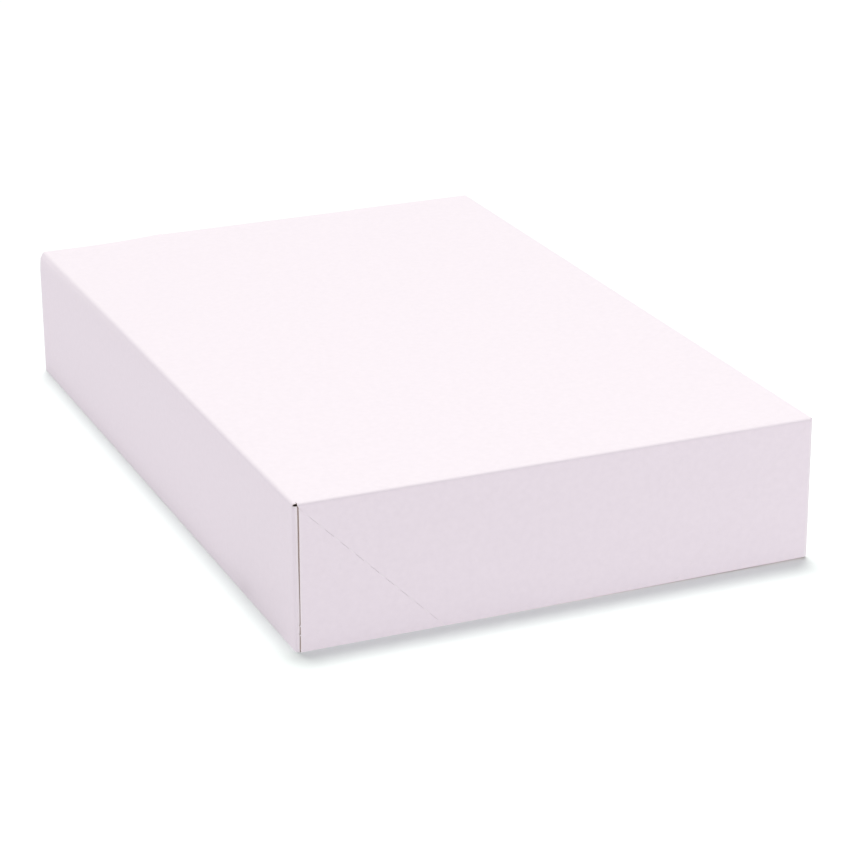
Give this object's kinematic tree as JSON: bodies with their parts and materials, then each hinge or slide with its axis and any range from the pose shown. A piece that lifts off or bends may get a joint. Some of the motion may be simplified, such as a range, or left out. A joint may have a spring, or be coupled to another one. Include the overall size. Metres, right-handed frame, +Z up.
{
  "type": "donut box",
  "caption": "Closed folding carton for pastry: a glued board tray with a full-depth lid hinged along its back wall, which swings up and lies back on the table.",
  "frame": {"origin": "centre of the box's footprint, on the surface that it stands on", "axes": "+Z up, -Y out of the lid's front panel, +Y towards the lid's hinge, +X to the right when facing the front panel"},
  "size_m": [0.21, 0.325, 0.0577],
  "materials": {
    "coated_board": "white clay-coated carton board, uncoated brown inside",
    "glue": "dried carton glue film"
  },
  "bodies": {
    "tray": {"tray_base_panel": "coated_board", "tray_front_wall": "coated_board", "tray_back_wall": "coated_board", "tray_left_wall": "coated_board", "tray_right_wall": "coated_board", "tray_front_left_web": "coated_board", "tray_front_left_glue_tab": "coated_board", "tray_front_left_glue_patch": "glue", "tray_front_right_web": "coated_board", "tray_front_right_glue_tab": "coated_board", "tray_front_right_glue_patch": "glue", "tray_back_left_web": "coated_board", "tray_back_left_glue_tab": "coated_board", "tray_back_left_glue_patch": "glue", "tray_back_right_web": "coated_board", "tray_back_right_glue_tab": "coated_board", "tray_back_right_glue_patch": "glue", "lid_hinge_crease": "coated_board"},
    "lid": {"lid_top_panel": "coated_board", "lid_front_panel": "coated_board", "lid_left_panel": "coated_board", "lid_right_panel": "coated_board", "lid_left_web": "coated_board", "lid_left_glue_tab": "coated_board", "lid_left_glue_patch": "glue", "lid_right_web": "coated_board", "lid_right_glue_tab": "coated_board", "lid_right_glue_patch": "glue"}
  },
  "joints": [
    {"name": "lid_open", "type": "hinge", "parent": "tray", "child": "lid", "pos_m": [0, 0.1625, 0.0577], "axis": [-1, 0, 0], "range_deg": [0, 190], "deforming": ["lid_hinge_crease"]}
  ]
}
